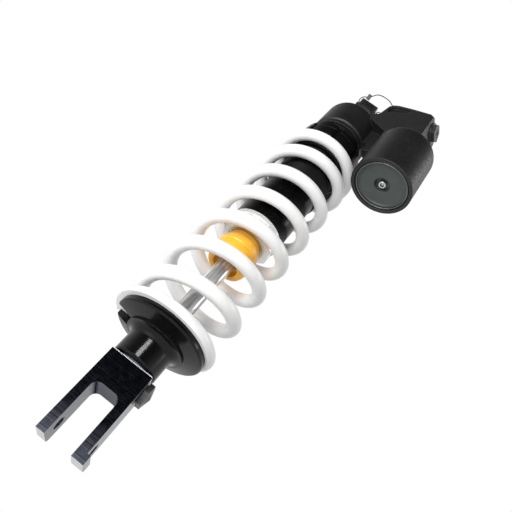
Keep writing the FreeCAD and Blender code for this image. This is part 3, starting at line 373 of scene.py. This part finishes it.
def new_piece(name, points, faces, slot, materials):
    """Make a smooth-shaded mesh piece with the finish of a material slot."""
    mesh = bpy.data.meshes.new(name)
    mesh.from_pydata(points, [], faces)
    work = bmesh.new()
    work.from_mesh(mesh)
    bmesh.ops.recalc_face_normals(work, faces=work.faces)
    work.to_mesh(mesh)
    work.free()
    mesh.shade_smooth()
    mesh.set_sharp_from_angle(angle=SHARP_ANGLE)
    mesh.materials.append(materials[slot])
    piece = bpy.data.objects.new(name, mesh)
    bpy.context.scene.collection.objects.link(piece)
    return piece


def joined_rings(rings, per_ring, closed):
    """Quads that join each ring of points to the next, and the last ring to the first when closed."""
    faces = []
    for ring in range(rings if closed else rings - 1):
        start, following = ring * per_ring, (ring + 1) % rings * per_ring
        for side in range(per_ring):
            after = (side + 1) % per_ring
            faces.append((start + side, following + side, following + after, start + after))
    return faces


def turn_profile(name, profile, slot, materials, unevenness, around=128):
    """Turn a closed outline of (radius, height) points about the Z axis, with slight unevenness."""
    points = []
    for index in range(around):
        angle = 2 * math.pi * index / around
        outward = Vector((math.cos(angle), math.sin(angle), 0))
        for radius, height in profile:
            point = outward * radius + Vector((0, 0, height))
            swell = noise.noise(point * NOISE_PER_M) * unevenness
            points.append(point - outward * abs(swell))
    return new_piece(name, points, joined_rings(around, len(profile), closed=True), slot, materials)


def rounded(corners, steps=5):
    """Replace each (radius, height, corner radius) corner of a closed outline by a small arc."""
    outline = []
    for index, (across, up, size) in enumerate(corners):
        here = Vector((across, up))
        before = Vector(corners[index - 1][:2]) - here
        after = Vector(corners[(index + 1) % len(corners)][:2]) - here
        reach = min(size, before.length * ARC_SIDE_SHARE, after.length * ARC_SIDE_SHARE)
        start, stop = here + before.normalized() * reach, here + after.normalized() * reach
        for step in range(steps + 1):
            share = step / steps
            point = start.lerp(here, share).lerp(here.lerp(stop, share), share)
            outline.append((point.x, point.y))
    return outline


# ---------------------------------------------------------------- bump stop and damper tube


BUMP_UNEVENNESS = 0.25 * MM
SHAFT_CLEARANCE, MOUTH_STEP = 0.6 * MM, 3.9 * MM
TUBE_BORE_R, TUBE_PLAIN_R = 23 * MM, 26.8 * MM
THREAD_LOW, THREAD_PITCH, THREAD_DEPTH = 302 * MM, 1.5 * MM, 0.7 * MM


def make_bump_stop(materials):
    """Moulded elastomer cushion: rounded mouth, one groove round its middle and a narrower neck."""
    low, high = (corner.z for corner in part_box("bump_stop"))
    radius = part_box("bump_stop")[1].x
    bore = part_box("chrome_shaft")[1].x + SHAFT_CLEARANCE
    mouth = bore + MOUTH_STEP
    profile = rounded([
        (bore, low + 8 * MM, 1 * MM),
        (mouth, low + 6 * MM, 2 * MM),
        (mouth, low, 1 * MM),
        (radius - 2.7 * MM, low, 1.2 * MM),
        (radius - 0.6 * MM, low + 3.4 * MM, 3 * MM),
        (radius, low + 11 * MM, 6 * MM),
        (radius - 0.1 * MM, low + 16.4 * MM, 0.8 * MM),
        (radius - 1.0 * MM, low + 17.4 * MM, 0.7 * MM),
        (radius - 0.2 * MM, low + 18.4 * MM, 0.8 * MM),
        (radius - 0.7 * MM, low + 25 * MM, 6 * MM),
        (radius - 3.4 * MM, high - 3 * MM, 2.4 * MM),
        (radius - 3.8 * MM, high, 0.6 * MM),
        (bore, high, 0.6 * MM),
    ])
    piece = turn_profile("bump_stop_moulded", profile, "bump_amber", materials, BUMP_UNEVENNESS)
    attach(piece, "damper")
    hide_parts("bump_stop")


def make_tube(materials):
    """Damper tube whose upper length carries the fine thread of the preload rings."""
    low, high = (corner.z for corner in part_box("body_tube"))
    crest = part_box("body_tube")[1].x
    around, rings_per_pitch = 96, 6
    thread_rings = round((high - THREAD_LOW) / THREAD_PITCH) * rings_per_pitch
    points = []
    for index in range(around):
        turn = index / around
        outward = Vector((math.cos(2 * math.pi * turn), math.sin(2 * math.pi * turn), 0))
        column = [(TUBE_BORE_R, low), (TUBE_PLAIN_R, low), (TUBE_PLAIN_R, THREAD_LOW - 1 * MM)]
        for ring in range(thread_rings + 1):
            height = THREAD_LOW + (high - THREAD_LOW) * ring / thread_rings
            phase = (ring / rings_per_pitch - turn) % 1.0
            column.append((crest - THREAD_DEPTH * abs(2 * phase - 1), height))
        column.append((TUBE_BORE_R, high))
        points += [outward * radius + Vector((0, 0, height)) for radius, height in column]
    faces = joined_rings(around, len(column), closed=True)
    piece = new_piece("body_tube_threaded", points, faces, "tube_black", materials)
    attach(piece, "damper")
    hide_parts("body_tube")


# ---------------------------------------------------------------- spring


WIRE_R = 6.3 * MM
STEPS_PER_TURN, WIRE_SIDES = 72, 28
START_TURN = 0.25
FIRST_TURN, LAST_TURN = -0.3, 7.3
FIRST_ACTIVE, LAST_ACTIVE = 0.27, 6.73
ACTIVE_PITCH, CLOSED_PITCH = 38.9 * MM, 7 * MM
TIP_INSET = 1 * MM
EASE_TURNS, EASE_SAMPLES = 0.12, 3
JOINT_TURN = 5.75


def coil_height(turn, low):
    """Height of the wire's centre at a turn count: closed ends, even pitch between them."""
    def sharp_height(place):
        lower = min(place, FIRST_ACTIVE) - FIRST_TURN
        middle = min(max(place, FIRST_ACTIVE), LAST_ACTIVE) - FIRST_ACTIVE
        upper = max(place, LAST_ACTIVE) - LAST_ACTIVE
        return low + TIP_INSET + CLOSED_PITCH * (lower + upper) + ACTIVE_PITCH * middle

    steps = range(-EASE_SAMPLES, EASE_SAMPLES + 1)
    samples = [sharp_height(turn + EASE_TURNS * step / EASE_SAMPLES) for step in steps]
    return sum(samples) / len(samples)


def coil_slope(turn, low, coil_r):
    """Rise of the wire's centre for each metre along the coil's circle."""
    step = 0.01
    rise = coil_height(turn + step, low) - coil_height(turn - step, low)
    return rise / (2 * step * 2 * math.pi * coil_r)


def make_coil_part(name, start, stop, materials):
    """Sweep the wire from one turn count to another; returns the piece and each point's turn count."""
    low, high = (corner.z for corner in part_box("coil_spring"))
    coil_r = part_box("coil_spring")[1].x - WIRE_R
    count = round((stop - start) * STEPS_PER_TURN)
    turns = [start + (stop - start) * index / count for index in range(count + 1)]
    points = []
    for turn in turns:
        angle = 2 * math.pi * (turn - START_TURN)
        outward = Vector((math.cos(angle), math.sin(angle), 0))
        along = Vector((-math.sin(angle), math.cos(angle), coil_slope(turn, low, coil_r))).normalized()
        upward = outward.cross(along).normalized()
        centre = outward * coil_r + Vector((0, 0, coil_height(turn, low)))
        for side in range(WIRE_SIDES):
            swing = 2 * math.pi * side / WIRE_SIDES
            point = centre + (outward * math.cos(swing) + upward * math.sin(swing)) * WIRE_R
            point.z = min(max(point.z, low), high)
            points.append(point)
    faces = joined_rings(count + 1, WIRE_SIDES, closed=False)
    faces.append(tuple(range(WIRE_SIDES)))
    faces.append(tuple(range(count * WIRE_SIDES, (count + 1) * WIRE_SIDES)))
    piece = new_piece(name, points, faces, "spring_white", materials)
    return piece, [turn for turn in turns for _ in range(WIRE_SIDES)]


def make_spring(materials):
    """The coil in two lengths that meet at one turn count."""
    low, high = (corner.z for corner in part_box("coil_spring"))
    lower, lower_turns = make_coil_part("coil_main", FIRST_TURN, JOINT_TURN, materials)
    upper, upper_turns = make_coil_part("coil_upper", JOINT_TURN, LAST_TURN, materials)
    joint_place = (0, 0, coil_height(JOINT_TURN, low))
    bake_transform(lower)
    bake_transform(upper)
    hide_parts("coil_spring")
    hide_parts("coil_spring")


# ---------------------------------------------------------------- stage


CAMERA_PLACE = Vector((64.58, -368.77, -65.38)) * MM
CAMERA_RIGHT = Vector((0.8004, -0.2871, 0.5263))
CAMERA_UP = Vector((-0.5900, -0.5329, 0.6066))
CAMERA_BACK = CAMERA_RIGHT.cross(CAMERA_UP).normalized()
CAMERA_TURN = Matrix((CAMERA_RIGHT, CAMERA_UP, CAMERA_BACK)).transposed()
CAMERA_LENS = 35.65

SOFT_DIM_SIDE = Vector((-0.35, -0.10, -0.93))
SOFT_DIM_INNER, SOFT_DIM_OUTER = 20, 150
SOFT_BRIGHT, SOFT_DIM = 0.70, 0.32
DARK_GAP_SIDE = Vector((-0.1, -0.75, 0.65))
DARK_GAP_INNER, DARK_GAP_OUTER = 30, 78
MIRROR_BRIGHT, MIRROR_DARK = 0.85, 0.01

KEY_PLACE, KEY_SIZE, KEY_POWER = Vector((-0.5, 0.55, 1.05)), (0.8, 0.6), 19.0
RIM_PLACE, RIM_SIZE, RIM_POWER = Vector((1.1, -0.1, -0.25)), (0.25, 0.9), 2.2
GLINT_SIZE, GLINT_POWER = (0.3, 0.06), 2.0
GLINT_RADIUS_SHARE, GLINT_HEIGHT = 0.75, 6 * MM

FLOOR_REACH, FLOOR_GAP = 40.0, 0.5 * MM
FLOOR_GLOW = 0.38
FLOOR_SOFT, FLOOR_MIRRORED = 0.45, 0.8


def make_camera():
    """Camera at the photo's place and angle."""
    camera = bpy.data.objects.new("camera", bpy.data.cameras.new("camera"))
    bpy.context.scene.collection.objects.link(camera)
    camera.data.lens = CAMERA_LENS
    camera.data.sensor_width = 36.0
    camera.data.clip_start = 0.01
    camera.matrix_world = Matrix.Translation(CAMERA_PLACE) @ CAMERA_TURN.to_4x4()
    bpy.context.scene.camera = camera


def fade(tree, direction, centre, inner, outer, near_value, far_value):
    """Soft change from the near value, within the inner angle of a centre, to the far value outside."""
    facing = tree.nodes.new("ShaderNodeVectorMath")
    facing.operation = "DOT_PRODUCT"
    facing.inputs[1].default_value = centre.normalized()
    spread = tree.nodes.new("ShaderNodeMapRange")
    spread.interpolation_type = "SMOOTHSTEP"
    spread.inputs["From Min"].default_value = math.cos(math.radians(outer))
    spread.inputs["From Max"].default_value = math.cos(math.radians(inner))
    spread.inputs["To Min"].default_value = far_value
    spread.inputs["To Max"].default_value = near_value
    tree.links.new(direction, facing.inputs[0])
    tree.links.new(facing.outputs["Value"], spread.inputs["Value"])
    return spread.outputs["Result"]


def add_background(tree, strength=1.0):
    """White background of a plain strength or of one linked from another node."""
    background = tree.nodes.new("ShaderNodeBackground")
    background.inputs["Color"].default_value = (1, 1, 1, 1)
    if isinstance(strength, bpy.types.NodeSocket):
        tree.links.new(strength, background.inputs["Strength"])
    else:
        background.inputs["Strength"].default_value = strength
    return background.outputs[0]


def pick_shader(tree, switch, when_off, when_on):
    """Mix two shaders by a switch output."""
    pick = tree.nodes.new("ShaderNodeMixShader")
    for source, target in zip((switch, when_off, when_on), pick.inputs):
        tree.links.new(source, target)
    return pick.outputs[0]


def make_world():
    """White ground for the camera, a white tent for soft light, and a dark gap in it for reflections."""
    world = bpy.data.worlds.new("studio")
    bpy.context.scene.world = world
    world.use_nodes = True
    tree = world.node_tree
    tree.nodes.clear()
    output = tree.nodes.new("ShaderNodeOutputWorld")
    path = tree.nodes.new("ShaderNodeLightPath")
    direction = tree.nodes.new("ShaderNodeTexCoord").outputs["Generated"]
    tent = fade(tree, direction, SOFT_DIM_SIDE, SOFT_DIM_INNER, SOFT_DIM_OUTER, SOFT_DIM, SOFT_BRIGHT)
    gap = fade(tree, direction, DARK_GAP_SIDE, DARK_GAP_INNER, DARK_GAP_OUTER, MIRROR_DARK, MIRROR_BRIGHT)
    soft = add_background(tree, tent)
    mirrored = add_background(tree, gap)
    unseen = pick_shader(tree, path.outputs["Is Glossy Ray"], soft, mirrored)
    all_rays = pick_shader(tree, path.outputs["Is Camera Ray"], unseen, add_background(tree))
    tree.links.new(all_rays, output.inputs["Surface"])


def add_panel(name, place, target, size, power):
    """Hang a soft rectangular light at a place, aimed at a target."""
    light = bpy.data.lights.new(name, "AREA")
    light.shape = "RECTANGLE"
    light.size, light.size_y = size
    light.energy = power
    panel = bpy.data.objects.new(name, light)
    bpy.context.scene.collection.objects.link(panel)
    panel.location = place
    panel.rotation_mode = "QUATERNION"
    panel.rotation_quaternion = (target - place).to_track_quat("-Z", "Y")
    return panel


def light_shock():
    """A big soft key from the viewer's upper left and a weak rim from the right.

    Their places are given right, up and back of the shock's middle, as the camera sees them.
    """
    low, high = cad_box
    middle = (low + high) / 2
    add_panel("key", middle + CAMERA_TURN @ KEY_PLACE, middle, KEY_SIZE, KEY_POWER)
    add_panel("rim", middle + CAMERA_TURN @ RIM_PLACE, middle, RIM_SIZE, RIM_POWER)


def light_bell():
    """A slit of light that only the bell catches, placed where its front mirrors it to the camera."""
    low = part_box("shaft_bell")[0]
    front = Vector((0, low.y * GLINT_RADIUS_SHARE, low.z + GLINT_HEIGHT))
    sight = (front - CAMERA_PLACE).normalized()
    mirrored_sight = Vector((sight.x, -sight.y, sight.z))
    slit = add_panel("glint", front + mirrored_sight, front, GLINT_SIZE, GLINT_POWER)
    lit_only = bpy.data.collections.new("lit_by_glint")
    lit_only.objects.link(frame["nodes"]["shaft_bell"])
    slit.light_linking.receiver_collection = lit_only


def floor_material():
    """Pale floor that shows its top only; light from the panels passes through it."""
    shader = Shader("floor_pale")
    tone = shader.blend(shader.blotches(0.4), (0.90, 0.90, 0.90), (0.87, 0.87, 0.87))
    shader.set(Base_Color=tone, Roughness=0.6, Emission_Color=(1.0, 1.0, 1.0, 1.0),
               Emission_Strength=FLOOR_GLOW)
    path = shader.add("LightPath")
    bounced = shader.add("Emission")
    glow = shader.remap(path.outputs["Is Glossy Ray"], FLOOR_SOFT, FLOOR_MIRRORED, start=0, stop=1)
    shader.feed(bounced.inputs["Strength"], glow)
    top = pick_shader(shader.tree, path.outputs["Is Camera Ray"], bounced.outputs[0],
                      shader.surface.outputs["BSDF"])
    below = shader.add("NewGeometry").outputs["Backfacing"]
    clear = shader.add("BsdfTransparent").outputs[0]
    see_through = shader.math("MAXIMUM", below, path.outputs["Is Shadow Ray"])
    output = [node for node in shader.tree.nodes if node.type == "OUTPUT_MATERIAL"][0]
    shader.join(pick_shader(shader.tree, see_through, top, clear), output.inputs["Surface"])
    return shader.material


def make_floor():
    """Wide pale floor just under the clevis."""
    level = cad_box[0].z - FLOOR_GAP
    corners = [(-1, -1), (1, -1), (1, 1), (-1, 1)]
    mesh = bpy.data.meshes.new("floor")
    mesh.from_pydata([(x * FLOOR_REACH, y * FLOOR_REACH, level) for x, y in corners], [], [(0, 1, 2, 3)])
    mesh.materials.append(floor_material())
    floor = bpy.data.objects.new("floor", mesh)
    bpy.context.scene.collection.objects.link(floor)


def make_stage():
    """Camera, lights and floor."""
    make_camera()
    make_world()
    light_shock()
    light_bell()
    make_floor()
    bpy.context.scene.view_settings.view_transform = "Standard"


def main():
    materials = make_materials()
    dress_cad_nodes(materials)
    make_bump_stop(materials)
    make_tube(materials)
    make_spring(materials)
    make_stage()


main()
